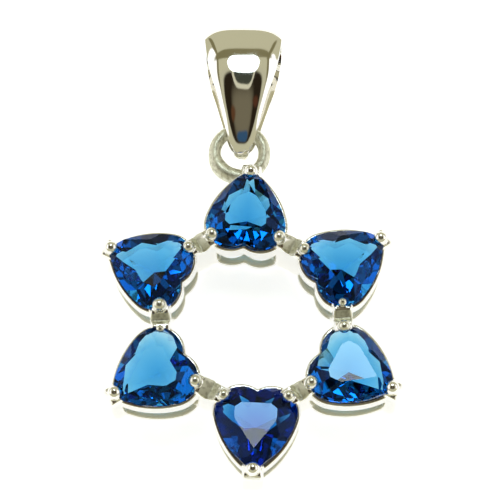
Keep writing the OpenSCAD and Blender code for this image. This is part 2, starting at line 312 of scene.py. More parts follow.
# Where each change of finish and of painted shade begins and ends: heights in metres, the rest as
# shares of 1
DULL_AND_SHADE_HEIGHTS, DULL_AND_SHADE_FACES_UP = (2.3 * MM, 2.0 * MM), (0.5, 0.9)
CLOUDS, SPECKLES = (0.35, 0.7), (0.45, 0.65)
# Clouds to one grain, and the depth of the grain in millimetres
CLOUD_SCALE, GRAIN_DEPTH = 0.12, 0.02


def silver_material(name, rough, rough_more, grain, bump, cast):
    """grain is the size of the grain in millimetres; cast is 1 for the star's uneven finish, whose
    dull rail tops also get painted shade.
    """
    made, tree, shader = new_material(name)
    place = node(tree, "ShaderNodeTexCoord").outputs["Object"]
    per_grain = 1 / (grain * MM)
    skin = node(tree, "ShaderNodeTexNoise", Vector=place, Scale=per_grain, Detail=3.0)
    skin = skin.outputs["Fac"]
    cloud = node(tree, "ShaderNodeTexNoise", Vector=place, Scale=CLOUD_SCALE * per_grain,
                 Detail=2.0)
    height = node(tree, "ShaderNodeSeparateXYZ", Vector=place).outputs["Z"]
    normal = node(tree, "ShaderNodeNewGeometry").outputs["Normal"]
    up = node(tree, "ShaderNodeSeparateXYZ", Vector=normal).outputs["Z"]
    mark = node(tree, "ShaderNodeAttribute")
    mark.attribute_name = "satin_and_shade"
    satin_and_shade = mark.outputs["Fac"]
    low = ramp(tree, height, *DULL_AND_SHADE_HEIGHTS, 0, cast)
    dull_and_shade = calc(tree, "MULTIPLY", low, ramp(tree, up, *DULL_AND_SHADE_FACES_UP))
    tint = SILVER
    roughness = ramp(tree, cloud.outputs["Fac"], *CLOUDS, rough, rough_more)
    # Satin and dull places are rougher, and their olive colour is painted shade
    finishes_and_shades = ((satin_and_shade, SATIN_PAINTED_SHADE, SATIN_ROUGH), (dull_and_shade, DULL_PAINTED_SHADE, DULL_ROUGH))
    for share, colour, least in finishes_and_shades:
        tint = blend(tree, share, tint, colour)
        roughness = calc(tree, "MAXIMUM", roughness, calc(tree, "MULTIPLY", share, least))
    fleck = calc(tree, "MULTIPLY", satin_and_shade, ramp(tree, skin, *SPECKLES, 0, FLECKS))
    raised = node(tree, "ShaderNodeBump", Height=skin, Strength=bump, Distance=GRAIN_DEPTH * MM)
    feed(tree, shader.inputs["Base Color"], blend(tree, fleck, tint, FLECK_SILVER))
    feed(tree, shader.inputs["Roughness"], roughness)
    feed(tree, shader.inputs["Metallic"], calc(tree, "MULTIPLY_ADD", dull_and_shade, DULL_METAL - 1, 1.0))
    feed(tree, shader.inputs["Normal"], raised.outputs["Normal"])
    return made


bright_silver = silver_material("bright silver", rough=0.04, rough_more=0.08, grain=0.5,
                                bump=0.05, cast=0)
cast_silver = silver_material("cast silver", rough=0.1, rough_more=0.2, grain=0.25,
                              bump=0.3, cast=1)
print("metals:", bright_silver.name, "and", cast_silver.name)

# %% [markdown]
# The stones are blue glass. Glass gets its colour from its depth: light loses a little red and
# green with every millimetre, so the thin girdle is pale, the middle sky blue, and light that
# bounces inside comes out deep royal blue. That needs a clear surface and an absorbing volume. A
# blue surface colour would make every part of the stone the same. The one deep stone is of a
# darker melt. The slopes of the crown get a blue shine, so that the tent doesn't grey their dark
# facets, and the level table keeps a plain one, which shows as the pale veil on two of the stones.

# %% Blue glass
GLASS_IOR = 1.52
CLEAR = (1, 1, 1, 1)
SLOPE_SHINE = (0.2, 0.38, 1, 1)
# How far a face looks up, from where it counts as a slope to where it counts as level
LEVEL = (0.94, 0.98)
# Wear: its patches to the millimetre, where they begin and end, and how rough they are
WEAR_SCALE, WEAR, WEAR_ROUGH = 2.5, (0.62, 0.8), 0.04
# Share of light left after one millimetre, for red, green and blue, as minus its logarithm
LOSS = (1.15, 0.4, 0.12)
LOSS_MOST = 1.15
DEEP_TONE = 1.7


def glass_material(name, tone):
    made, tree, shader = new_material(name)
    shader.inputs["Base Color"].default_value = CLEAR
    shader.inputs["IOR"].default_value = GLASS_IOR
    shader.inputs["Transmission Weight"].default_value = 1
    normal = node(tree, "ShaderNodeNewGeometry").outputs["Normal"]
    up = node(tree, "ShaderNodeSeparateXYZ", Vector=normal).outputs["Z"]
    shine = blend(tree, ramp(tree, up, *LEVEL), SLOPE_SHINE, CLEAR)
    feed(tree, shader.inputs["Specular Tint"], shine)
    place = node(tree, "ShaderNodeTexCoord").outputs["Object"]
    wear = node(tree, "ShaderNodeTexNoise", Vector=place, Scale=WEAR_SCALE / MM, Detail=4.0)
    worn = ramp(tree, wear.outputs["Fac"], *WEAR, 0, WEAR_ROUGH)
    feed(tree, shader.inputs["Roughness"], worn)
    depth = node(tree, "ShaderNodeVolumeAbsorption")
    depth.inputs["Color"].default_value = (*[1 - loss / LOSS_MOST for loss in LOSS], 1)
    depth.inputs["Density"].default_value = tone * LOSS_MOST / MM
    tree.links.new(depth.outputs["Volume"], tree.nodes["Material Output"].inputs["Volume"])
    return made


blue_glass = glass_material("blue glass", 1)
deep_glass = glass_material("deep blue glass", DEEP_TONE)
print("glass loses", LOSS, "per millimetre")

# %% [markdown]
# A heart seen from above is two round lobes and two long curves that meet in the tip. The long
# curve touches the lobe without a corner, and that fixes its centre. The outline can be grown by
# an even distance, because each arc keeps its centre and only changes its radius, which is how the
# rails follow the stones.

# %% Outline of a heart
SIDE_STEPS, LOBE_STEPS = 24, 32


def side_centre():
    """Centre of the long side's arc, which meets the lobe smoothly and ends at the tip."""
    reach = math.hypot(TIP_U, LOBE_V)
    along_u, along_v = TIP_U / reach, -LOBE_V / reach
    gap_r = SIDE_R - LOBE_R
    along = (gap_r**2 - SIDE_R**2 + reach**2) / (2 * reach)
    off = math.sqrt(gap_r**2 - along**2)
    return along * along_u + off * along_v, LOBE_V + along * along_v - off * along_u


def heart(grow, sides=SIDE_STEPS, lobes=LOBE_STEPS):
    """Outline from the tip round by the left lobe, the notch and the right lobe, grown by grow."""
    cx, cy = side_centre()
    meet = math.atan2(LOBE_V - cy, -cx)
    far_r, near_r = SIDE_R + grow, LOBE_R + grow
    tip_a = math.asin(-cy / far_r)
    notch_a = math.pi + math.asin(LOBE_V / near_r)
    half = []
    for k in range(sides):
        a = tip_a + (meet - tip_a) * k / sides
        half.append((cx + far_r * math.cos(a), cy + far_r * math.sin(a)))
    for k in range(lobes + 1):
        a = meet + (notch_a - meet) * k / lobes
        half.append((near_r * math.cos(a), LOBE_V + near_r * math.sin(a)))
    return half + [(x, -y) for x, y in reversed(half[1:-1])]


outline = heart(0)
print(len(outline), "points, tip at", [round(c, 2) for c in outline[0]])

# %% [markdown]
# A caster sets the baskets by hand, so each is a little off its regular place: pushed out,
# pushed along, and turned by a few degrees. The stones lean a little in their baskets too, which
# is why each one mirrors another part of the tent. The tables below hold those hand-set places,
# and the matrices take a heart from its own plan to its place in the star.

# %% Places of the seats
# Shift outwards and anticlockwise as shares of SEAT_PLAY, then turn in degrees, from the top seat
SEAT_SET = [(-0.7, 0, -7), (1, 0.7, 3.5), (-0.3, -1, -1), (-0.7, 0.7, -5), (1, 0.3, 1),
            (-0.3, -0.7, 2)]
SEAT_NAMES = ["top", "upper_left", "lower_left", "bottom", "lower_right", "upper_right"]
# Lean of each stone towards +Y and to the right as shares of STONE_LEAN, then its share of depth
STONE_SET = [(0, 0, 1), (-0.2, 0, 1), (-0.6, 0, 0.9), (1, 0, 1.2), (0.94, -0.2, 0.92), (0.2, 0, 1)]


def seat_matrix(i):
    out, across, turn = SEAT_SET[i]
    shift = Vector((LOBE_RING_R + SEAT_PLAY * out, SEAT_PLAY * across, 0))
    middle = Vector((MIDDLE_U, 0, 0))
    ray = Matrix.Rotation(math.radians(90 + STEP * i), 4, "Z")
    own = Matrix.Rotation(math.radians(turn), 4, "Z")
    place = Matrix.Translation((0, STAR_Y, 0)) @ ray @ Matrix.Translation(shift + middle)
    return place @ own @ Matrix.Translation(-middle)


def stone_matrix(i):
    """The seat's own matrix, then the stone's lean about the middle of its girdle."""
    north, east = (math.radians(STONE_LEAN * share) for share in STONE_SET[i][:2])
    pivot = Matrix.Translation(seat_matrix(i) @ Vector((MIDDLE_U, 0, GIRDLE_Z)))
    lean = Matrix.Rotation(-north, 4, "X") @ Matrix.Rotation(east, 4, "Y")
    return pivot @ lean @ pivot.inverted() @ seat_matrix(i)


for i, name in enumerate(SEAT_NAMES):
    print(name, "tip at", [round(c, 2) for c in seat_matrix(i) @ Vector((TIP_U, 0, 0))])

# %% [markdown]
# A lapidary cuts a stone by holding it to a flat lap at one angle after another. The same is done
# here: a straight heart-shaped block is cut by one plane after another, and each cut is capped.
# A table of facets says which way each tier faces. Every plane is pushed to the outline's own
# edge, so the facets meet the girdle evenly on a heart too, which a ring of points never does well.

# %% Facets of the cut
# Each tier: its slope from level in degrees, and the ways that its facets face, in degrees from
# the tip, which are mirrored to the other side
CROWN_BREAKS = (43, (22, 60, 82, 103, 127, 149, 171))
CROWN_KITES = (36, (0, 72, 115, 160))
STARS = (29, (55, 90, 142, 180))
# How far each star facet's upper edge lies from the middle, as a share of the outline's reach
TABLE_SHARES = (0.42, 0.51, 0.56, 0.54)
GIRDLE_FACETS = (50, (20, 42, 64, 80, 104, 127, 150, 170))
MAINS = (52, 92, 139, 180)
MAIN_DROPS = (0.45, 0.3, 0.15, 0.4)
KITE_RISE = 0.02
SIDE_FACETS, LOBE_FACETS = 12, 16
# Spare block under the stone, how near two points become one, and the edges too flat to keep
BLOCK_UNDER = 0.5
SAME_POINT = 1e-6
FLAT = math.radians(0.2)


def mirrored(angles, values):
    """Each angle with its value, and again on the other side of the heart."""
    for angle, value in zip(angles, values):
        yield angle, value
        if angle % 180:
            yield -angle, value


def reach_of(points, middle_u, angle):
    """How far an outline reaches from the middle towards an angle."""
    a = math.radians(angle)
    return max((x - middle_u) * math.cos(a) + y * math.sin(a) for x, y in points)


def cut(bm, middle_u, angle, slope, reach, z, up):
    """Cuts away what lies beyond a plane that passes reach from the middle at height z."""
    a, s = math.radians(angle), math.radians(slope)
    way = Vector((math.cos(a), math.sin(a), 0))
    normal = way * math.sin(s) + Vector((0, 0, up * math.cos(s)))
    point = Vector((middle_u, 0, z)) + way * reach
    everything = bm.verts[:] + bm.edges[:] + bm.faces[:]
    bmesh.ops.bisect_plane(bm, geom=everything, dist=SAME_POINT, plane_co=point,
                           plane_no=normal, clear_outer=True)
    rim = [e for e in bm.edges if e.is_boundary]
    if rim:
        bmesh.ops.holes_fill(bm, edges=rim, sides=0)


def block(bm, points, low, high):
    """A straight block with the outline's sides."""
    n = len(points)
    base = [bm.verts.new((x, y, low)) for x, y in points]
    lid = [bm.verts.new((x, y, high)) for x, y in points]
    bm.faces.new(base[::-1])
    bm.faces.new(lid)
    for k in range(n):
        bm.faces.new((base[k], base[(k + 1) % n], lid[(k + 1) % n], lid[k]))


def cut_stone(depth):
    """A stone in its own plan, in millimetres, with its girdle at its height in the star."""
    points = heart(0, SIDE_FACETS, LOBE_FACETS)
    girdle_top = GIRDLE_Z + GIRDLE_H
    table_z = girdle_top + CROWN_H
    bm = bmesh.new()
    block(bm, points, GIRDLE_Z - depth - BLOCK_UNDER, table_z)
    whole = (1,) * len(points)
    for (slope, angles), shares, middle_u, z, up in (
            (CROWN_BREAKS, whole, MIDDLE_U, girdle_top, 1),
            (CROWN_KITES, whole, MIDDLE_U, girdle_top + KITE_RISE, 1),
            (STARS, TABLE_SHARES, MIDDLE_U, table_z, 1),
            (GIRDLE_FACETS, whole, CULET_U, GIRDLE_Z, -1)):
        for angle, share in mirrored(angles, shares):
            cut(bm, middle_u, angle, slope, share * reach_of(points, middle_u, angle), z, up)
    for angle, drop in mirrored(MAINS, MAIN_DROPS):
        reach = reach_of(points, CULET_U, angle)
        slope = math.degrees(math.atan2(depth - drop, reach))
        cut(bm, CULET_U, angle, slope, reach, GIRDLE_Z - drop, -1)
    bmesh.ops.dissolve_limit(bm, angle_limit=FLAT, verts=bm.verts, edges=bm.edges)
    bmesh.ops.recalc_face_normals(bm, faces=bm.faces)
    mesh = bpy.data.meshes.new("cut_stone")
    bm.to_mesh(mesh)
    bm.free()
    return mesh


cut_meshes = [cut_stone(PAVILION_H * STONE_SET[i][2]) for i in range(SEATS)]
print("facets of each stone:", [len(mesh.polygons) for mesh in cut_meshes])

# %% [markdown]
# The six stones have one cut and differ only in depth, as stones of one lot do. Each goes to its
# own seat and stands for its own solid. The shallow ones let the lit table shine through, and the
# deepest throws that light back inside and looks dark round its table.

# %% Six stones
stones = []
for i, name in enumerate(SEAT_NAMES):
    mesh = cut_meshes[i]
    mesh.transform(Matrix.Scale(MM, 4) @ stone_matrix(i))
    mesh.materials.append(deep_glass if STONE_SET[i][2] > 1 else blue_glass)
    stone = add_object("cut_stone_" + name, mesh)
    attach(stone, "root")
    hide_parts("stone_" + name)
    stones.append(stone)
print("stones set:", len(stones))

# %% [markdown]
# Geometry Nodes describe a shape as a rule with a few named inputs. Each tree below is built once
# and run by a modifier, whose inputs are set before anything is worked out. The result is then
# kept as a plain mesh and the modifier goes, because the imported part's tools expect plain meshes.

# %% Helpers for shape rules


def new_tree(name, *inputs):
    """A shape rule with an input for each (name, kind), those inputs, and its result socket."""
    tree = bpy.data.node_groups.new(name, "GeometryNodeTree")
    for label, kind in (("Geometry", "Geometry"), *inputs):
        tree.interface.new_socket(label, in_out="INPUT", socket_type="NodeSocket" + kind)
    tree.interface.new_socket("Geometry", in_out="OUTPUT", socket_type="NodeSocketGeometry")
    given = tree.nodes.new("NodeGroupInput").outputs
    return tree, given, tree.nodes.new("NodeGroupOutput").inputs[0]


def attribute(tree, name, kind="FLOAT"):
    made = node(tree, "GeometryNodeInputNamedAttribute", Name=name)
    made.data_type = kind
    return next(s for s in made.outputs if s.enabled)


def finish_tree(tree, shape, metal, result):
    """Makes instances real, gives them their metal and hands them to the result."""
    real = node(tree, "GeometryNodeRealizeInstances", Geometry=shape)
    plated = node(tree, "GeometryNodeSetMaterial", Geometry=real.outputs[0], Material=metal)
    tree.links.new(plated.outputs[0], result)


def keep_mesh(made):
    """Works out an object's modifiers and keeps the result as its plain mesh."""
    seen = made.evaluated_get(bpy.context.evaluated_depsgraph_get())
    mesh = bpy.data.meshes.new_from_object(seen)
    made.modifiers.clear()
    made.data = mesh
    return made


def grow(name, tree, start, settings):
    """Runs a shape rule on a starting mesh and returns the plain result."""
    made = add_object(name, start)
    work = made.modifiers.new(tree.name, "NODES")
    work.node_group = tree
    for item in tree.interface.items_tree:
        if item.in_out == "INPUT" and item.name in settings:
            work[item.identifier] = settings[item.name]
    return keep_mesh(made)


def mesh_with(name, points, edges=(), **values):
    """A mesh of points, in millimetres, that carry named values for a shape rule to read."""
    mesh = bpy.data.meshes.new(name)
    mesh.from_pydata([Vector(p) * MM for p in points], edges, [])
    for label, column in values.items():
        vectors = isinstance(column[0], Vector)
        layer = mesh.attributes.new(label, "FLOAT_VECTOR" if vectors else "FLOAT", "POINT")
        for item, value in zip(layer.data, column):
            setattr(item, "vector" if vectors else "value", value)
    return mesh


print("shape rules ready")

# %% [markdown]
# The star repeats a few parts: six baskets, six prongs at the tips and twelve joined prongs. One
# rule sets a part on points, and each point says how far its copy is turned. That keeps the
# places, which are a short list, apart from the shape, which is made once.

# %% Rule: set a part on points


def set_rule():
    tree, given, result = new_tree("set_on_points", ("Part", "Object"), ("Metal", "Material"))
    part = node(tree, "GeometryNodeObjectInfo", Object=given["Part"])
    spin = node(tree, "ShaderNodeCombineXYZ", Z=attribute(tree, "turn"))
    rotation = node(tree, "FunctionNodeEulerToRotation", Euler=spin.outputs[0])
    copies = node(tree, "GeometryNodeInstanceOnPoints", Points=given["Geometry"],
                  Instance=part.outputs["Geometry"], Rotation=rotation.outputs[0])
    finish_tree(tree, copies.outputs[0], given["Metal"], result)
    return tree


set_on_points = set_rule()


def set_copies(name, part_mesh, points, turns):
    part = add_object(name + "_part", part_mesh)
    start = mesh_with(name, points, turn=turns)
    made = grow(name, set_on_points, start, {"Part": part, "Metal": cast_silver})
    bpy.data.objects.remove(part)
    return made


print("rule:", set_on_points.name)

# %% [markdown]
# A basket is two rails that follow the stone's outline, one under the girdle and one on the table.
# The section is a rounded rectangle, rounder for the low rail, which rubs on skin and cloth. Each
# of its points is the heart's outline grown by another amount, joined up ring by ring.

# %% Rails of a basket
UPPER_ROUND, LOWER_ROUND = 0.12, 0.25
CORNER_STEPS = 6


def rail_section(low, high, r):
    """Rounded rectangle: how far each point of a rail stands outside the stone, and its height."""
    out, inn = RAIL_OVER - r, RAIL_OVER - RAIL_T + r
    corners = [(out, high - r), (inn, high - r), (inn, low + r), (out, low + r)]
    section = []
    for quarter, (g, z) in enumerate(corners):
        for k in range(CORNER_STEPS + 1):
            a = math.pi / 2 * (quarter + k / CORNER_STEPS)
            section.append((g + r * math.cos(a), z + r * math.sin(a)))
    return section


def joined_rings(rings, start=0):
    """Faces between rings of points, round both ways."""
    n, m = len(rings), len(rings[0])
    faces = []
    for i in range(n):
        for j in range(m):
            a, b = i * m + j, i * m + (j + 1) % m
            c, d = (i + 1) % n * m + (j + 1) % m, (i + 1) % n * m + j
            faces.append(tuple(start + k for k in (a, d, c, b)))
    return faces


def basket_mesh():
    points, faces = [], []
    top = GIRDLE_Z - RAIL_DROP
    for low, high, r in ((0, LOWER_RAIL_H, LOWER_ROUND), (top - UPPER_RAIL_H, top, UPPER_ROUND)):
        rings = [[(x, y, z) for x, y in heart(g)] for g, z in rail_section(low, high, r)]
        faces += joined_rings(rings, len(points))
        points += [p for ring in rings for p in ring]
    return mesh_from("basket", points, faces)


seat_points = [seat_matrix(i).to_translation() for i in range(SEATS)]
seat_turns = [seat_matrix(i).to_euler().z for i in range(SEATS)]
baskets = set_copies("baskets", basket_mesh(), seat_points, seat_turns)
print("baskets:", len(baskets.data.polygons), "faces")

# %% [markdown]
# Prongs hold the stones. A prong is the smallest skin round its foot and its flat top, which gives
# it the plain face and rounded sides of a cast one, with a bead pressed over the stone's edge.
# Each basket has one of its own at its tip.

# %% Shape of a prong
PRONG_W, PRONG_IN, PRONG_EDGE_R = 1.3, 0.3, 0.2
VALLEY_H = 0.2
SHOULDER_OUT, SHOULDER_UP = 0.25, 0.1
BEAD_R, BEAD_IN, BEAD_UP = 0.44, 0.16, 0.42
NECK = 0.8
AROUND = 32


def prong_mesh(out, wide, bead=1.0):
    """A prong whose stone edge is at the origin and that reaches out along +X."""
    bm = bmesh.new()
    mid_w = wide / 2 - PRONG_EDGE_R
    for x in (PRONG_EDGE_R - PRONG_IN, out - PRONG_EDGE_R):
        for y in (-mid_w, mid_w):
            for k in range(AROUND):
                a = 2 * math.pi * k / AROUND
                off_x, off_y = PRONG_EDGE_R * math.cos(a), PRONG_EDGE_R * math.sin(a)
                for z in (0, GIRDLE_Z - VALLEY_H):
                    bm.verts.new((x + off_x, y + off_y, z))
    half = wide * NECK / 2
    for x in (-BEAD_R, SHOULDER_OUT):
        for y in (-half, half):
            for z in (GIRDLE_Z, GIRDLE_Z + SHOULDER_UP):
                bm.verts.new((x, y, z))
    bmesh.ops.convex_hull(bm, input=bm.verts)
    bmesh.ops.delete(bm, geom=[v for v in bm.verts if not v.link_faces], context="VERTS")
    ball = bmesh.ops.create_uvsphere(bm, u_segments=AROUND, v_segments=AROUND // 2,
                                     radius=BEAD_R * bead)
    bmesh.ops.translate(bm, verts=ball["verts"], vec=(-BEAD_IN, 0, GIRDLE_Z + BEAD_UP))
    bm.transform(Matrix.Scale(MM, 4))
    mesh = bpy.data.meshes.new("prong")
    bm.to_mesh(mesh)
    bm.free()
    return mesh


tips = [seat_matrix(i) @ Vector((TIP_U, 0, 0)) for i in range(SEATS)]
tip_prongs = set_copies("tip_prongs", prong_mesh(TIP_OUT, PRONG_W), tips, seat_turns)
print("tip prongs:", len(tip_prongs.data.polygons), "faces")

# %% [markdown]
# Each basket shares a joint with each neighbour, where two prongs stand back to back with a
# shallow groove between them. The seats are set by hand, so no two gaps are alike. Each pair is
# therefore made to its own gap, with the groove a little to one side and the beads not quite
# equal, and its two prongs overlap by a hair so that they fuse.

# %% Joined prongs
PAIR_IN = 0.4
FUSE = 0.05
SECOND_W = 0.94
# Joined prongs after each seat: place towards the star's centre as a share of PAIR_IN, then how
# much of the gap the first one fills
PAIR_SET = [(0.2, 0.6), (0.6, 0.62), (1, 0.58), (0.8, 0.4), (0.3, 0.38), (0.5, 0.42)]
# Beads of each pair as shares of BEAD_R: a file has taken two of them nearly off
PAIR_BEADS = [(0.95, 0.9), (1.05, 0.6), (0.95, 0.9), (0.9, 0.95), (0.95, 0.6), (0.9, 0.95)]


def joined_pair(i):
    """Edges of the two stones at the pair after seat i, and the way from one to the other."""
    a = seat_matrix(i) @ Vector((0, LOBE_V, 0))
    b = seat_matrix((i + 1) % SEATS) @ Vector((0, -LOBE_V, 0))
    way = (b - a).normalized()
    inward = PAIR_SET[i][0] * PAIR_IN * Vector((-way.y, way.x, 0))
    run = math.sqrt(LOBE_R**2 - inward.length_squared)
    return a + way * run + inward, b - way * run + inward, math.atan2(way.y, way.x)


joined, pair_places = [], []
for i in range(SEATS):
    edge_a, edge_b, heading = joined_pair(i)
    gap, share = (edge_b - edge_a).length, PAIR_SET[i][1]
    first = prong_mesh(gap * share + FUSE, PRONG_W, PAIR_BEADS[i][0])
    second = prong_mesh(gap * (1 - share) + FUSE, PRONG_W * SECOND_W, PAIR_BEADS[i][1])
    joined.append(set_copies(f"first_{i}", first, [edge_a], [heading]))
    joined.append(set_copies(f"second_{i}", second, [edge_b], [heading + math.pi]))
    pair_places.append((edge_a, heading, gap))
print("joined prongs:", len(joined))

# %% [markdown]
# The ring is a bent wire whose ends are soldered to the top tip. Solder thickens the wire beside
# the joint. The rule sweeps a round section along a circle and swells it near the joint.

# %% Rule: a soldered wire ring
# Solder thickens the wire by this share, and by nothing where the cosine of the way is less
SOLDER, SOLDER_FROM = 0.3, 0.55
SOLDER_AT = math.radians(235)
RING_STEPS, WIRE_STEPS = 180, 40


def ring_rule():
    tree, given, result = new_tree("soldered_ring", ("Radius", "Float"), ("Wire", "Float"),
                                   ("Solder", "Float"), ("Joint Angle", "Float"),
                                   ("Middle", "Vector"), ("Metal", "Material"))
    circle = node(tree, "GeometryNodeCurvePrimitiveCircle", Resolution=RING_STEPS,
                  Radius=given["Radius"])
    gone = node(tree, "GeometryNodeSplineParameter").outputs["Factor"]
    angle = calc(tree, "MULTIPLY", gone, math.tau)
    near = calc(tree, "COSINE", calc(tree, "SUBTRACT", angle, given["Joint Angle"]))
    swell = calc(tree, "MULTIPLY", ramp(tree, near, SOLDER_FROM, 1.0), given["Solder"])
    half_wire = calc(tree, "MULTIPLY", given["Wire"], 0.5)
    thick = calc(tree, "MULTIPLY", calc(tree, "ADD", swell, 1.0), half_wire)
    section = node(tree, "GeometryNodeCurvePrimitiveCircle", Resolution=WIRE_STEPS, Radius=1.0)
    swept = node(tree, "GeometryNodeCurveToMesh", Curve=circle.outputs[0],
                 Profile_Curve=section.outputs[0], Scale=thick)
    placed = node(tree, "GeometryNodeSetPosition", Geometry=swept.outputs[0],
                  Offset=given["Middle"])
    finish_tree(tree, placed.outputs[0], given["Metal"], result)
    return tree


ring_sizes = {"Radius": RING_R * MM, "Wire": RING_WIRE * MM, "Solder": SOLDER,
              "Joint Angle": SOLDER_AT, "Middle": RING_MIDDLE * MM, "Metal": cast_silver}
ring = grow("ring", ring_rule(), mesh_with("ring", []), ring_sizes)
print("ring:", len(ring.data.polygons), "faces")

# %% [markdown]
# Solder joins everything into one piece with small fillets. A voxel remesh does that to the heap
# of parts: it keeps the skin of what the parts cover together, and a little smoothing rounds the
# inner corners as solder would. The remesh makes far more triangles than flat faces need, so they
# are thinned. Last, each seat is cut with its own stone, grown by the fitting gap. The helpers
# come first.

# %% Helpers for joining and cutting


def joined_mesh(name, pieces):
    """One mesh of several objects, which are removed."""
    bm = bmesh.new()
    for piece in pieces:
        bm.from_mesh(piece.data)
        bpy.data.objects.remove(piece)
    bmesh.ops.recalc_face_normals(bm, faces=bm.faces)
    mesh = bpy.data.meshes.new(name)
    bm.to_mesh(mesh)
    bm.free()
    return mesh


def stone_room():
    """The stones grown by the fitting gap, which the metal is cut with."""
    bm = bmesh.new()
    for stone in stones:
        copy = stone.data.copy()
        middle = sum((v.co for v in copy.vertices), Vector()) / len(copy.vertices)
        grown = Matrix.Scale(1 + 2 * SEAT_GAP / STONE_W, 4)
        copy.transform(Matrix.Translation(middle) @ grown @ Matrix.Translation(-middle))
        bm.from_mesh(copy)
    mesh = bpy.data.meshes.new("stone_room")
    bm.to_mesh(mesh)
    bm.free()
    return add_object("stone_room", mesh)


def triangle_count(mesh):
    return sum(len(p.vertices) - 2 for p in mesh.polygons)


print("stones:", sum(triangle_count(stone.data) for stone in stones), "triangles")

# %% Solder the star and cut its seats
VOXEL = 0.06
SOFTEN, SOFTEN_STEPS = 0.5, 4
METAL_TRIANGLES = 170000

heap = joined_mesh("star_metal", [baskets, tip_prongs, *joined, ring])
star_metal = add_object("star_metal", heap)
fuse = star_metal.modifiers.new("fuse", "REMESH")
fuse.mode = "VOXEL"
fuse.voxel_size = VOXEL * MM
soften = star_metal.modifiers.new("soften", "SMOOTH")
soften.factor = SOFTEN
soften.iterations = SOFTEN_STEPS
keep_mesh(star_metal)
print("soldered:", triangle_count(star_metal.data), "triangles")
thin = star_metal.modifiers.new("thin", "DECIMATE")
thin.ratio = METAL_TRIANGLES / triangle_count(star_metal.data)
room = stone_room()
seats = star_metal.modifiers.new("seats", "BOOLEAN")
seats.solver = "MANIFOLD"
seats.operation = "DIFFERENCE"
seats.object = room
keep_mesh(star_metal)
bpy.data.objects.remove(room)
print("star metal:", triangle_count(star_metal.data), "triangles")

# %% [markdown]
# A brush reaches only some of the star: the ring all round, and the prongs between the stones from
# above. An artist would paint that by hand. A rule in plain words does it too: each point of the
# mesh is asked whether it lies on the ring, on a joined pair or on one of its beads, and keeps the
# answer for the silver to read. The same answer also says where the silver gets painted shade.

# %% Where the star is satin and has painted shade
# Share of satin and of painted shade on the upper half of each bead
BEAD_SATIN_AND_SHADE = 0.6
FACE_UP = 0.5


def satin_and_shade_share(point, normal):
    """1 on the ring and on top of the joined prongs, less on their beads, and 0 elsewhere."""
    far = point - RING_MIDDLE
    if math.hypot(far.xy.length - RING_R, far.z) < RING_WIRE * (1 + SOLDER) / 2:
        return 1.0
    for edge, heading, gap in pair_places:
        x, y = point.x - edge.x, point.y - edge.y
        along = x * math.cos(heading) + y * math.sin(heading)
        across = y * math.cos(heading) - x * math.sin(heading)
        if abs(across) > PRONG_W / 2:
            continue
        if BEAD_R - BEAD_IN < along < gap - BEAD_R + BEAD_IN:
            # On the joined prongs only faces that look up get satin and painted shade
            return float(normal.z > FACE_UP)
        if -BEAD_R - BEAD_IN < along < gap + BEAD_R + BEAD_IN:
            return BEAD_SATIN_AND_SHADE * (point.z > GIRDLE_Z + BEAD_UP / 2)
    return 0.0


shares = [satin_and_shade_share(v.co / MM, v.normal) for v in star_metal.data.vertices]
mark = star_metal.data.attributes.new("satin_and_shade", "FLOAT", "POINT")
mark.data.foreach_set("value", shares)
star_metal.data.materials.clear()
star_metal.data.materials.append(cast_silver)
star_metal.data.shade_smooth()
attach(star_metal, "root")
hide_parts("star_setting")
print("satin points:", sum(share > 0 for share in shares), "of", len(shares))

# %% [markdown]
# The bail is one strip of silver bent into a loop: narrow where it hangs on the ring and broad
# where the chain goes through. A few sections with a skin over them would do, but would leave
# waves in a mirror finish. From the side it is an egg of four arcs that meet smoothly, so its path
# is worked out arc by arc.

# %% Path of the bail
BIG_Y = BAIL_L - BAIL_D / 2
BIG_R = BAIL_D / 2 - BAIL_DOME - BAIL_T / 2
# Width of the bail along its length, as shares of its length and of its widest width
BAIL_WIDTHS = [(0, 0.12), (0.05, 0.2), (0.1, 0.31), (0.17, 0.4), (0.29, 0.52), (0.44, 0.68),
               (0.59, 0.85), (0.74, 0.96), (0.86, 1), (1, 0.96)]
TIP_END = BAIL_TIP_D / 2
TIP_R = BAIL_TIP_D / 2 - BAIL_DOME * BAIL_WIDTHS[0][1] - BAIL_T / 2
BAIL_HOLD = RING_R + BAIL_SLACK
BAIL_PITCH = math.asin((BAIL_D / 2 - RING_Z) / (BIG_Y - BAIL_HOLD))


def side_arc(r):
    """The arc of radius r that joins the two ends: its centre, and where it starts and ends."""
    gap = BIG_Y - TIP_END
    to_big, to_tip = r - BIG_R, r - TIP_R
    u = (to_tip**2 - to_big**2 - gap**2) / (2 * gap)
    v = math.sqrt(to_big**2 - u**2)
    return (BIG_Y + u, -v), math.atan2(v, -u), math.atan2(v, TIP_END - BIG_Y - u)


def arc(centre, r, start, end, n):
    """Places along an arc: along the bail, its height, and the angle of its outward way."""
    angles = [start + (end - start) * k / n for k in range(n)]
    return [(centre[0] + r * math.cos(a), centre[1] + r * math.sin(a), a) for a in angles]


def bail_path(end=70, side=70, tip=40):
    front, front_0, front_1 = side_arc(BAIL_FRONT_R)
    back, back_0, back_1 = side_arc(BAIL_BACK_R)
    return (arc((BIG_Y, 0), BIG_R, -back_0, front_0, end)
            + arc(front, BAIL_FRONT_R, front_0, front_1, side)
            + arc((TIP_END, 0), TIP_R, front_1, math.tau - back_1, tip)
            + arc((back[0], -back[1]), BAIL_BACK_R, math.tau - back_1, math.tau - back_0, side))


path = bail_path()
print(len(path), "places round the bail, pitch", round(math.degrees(BAIL_PITCH), 2), "degrees")

# %% [markdown]
# The strip's section is a low arch whose width follows a listed curve. The rule sweeps the
# section along the path, and then moves each point to its place by the named sizes, which a plain
# sweep can't do because it would thin the wall where the bail is narrow.

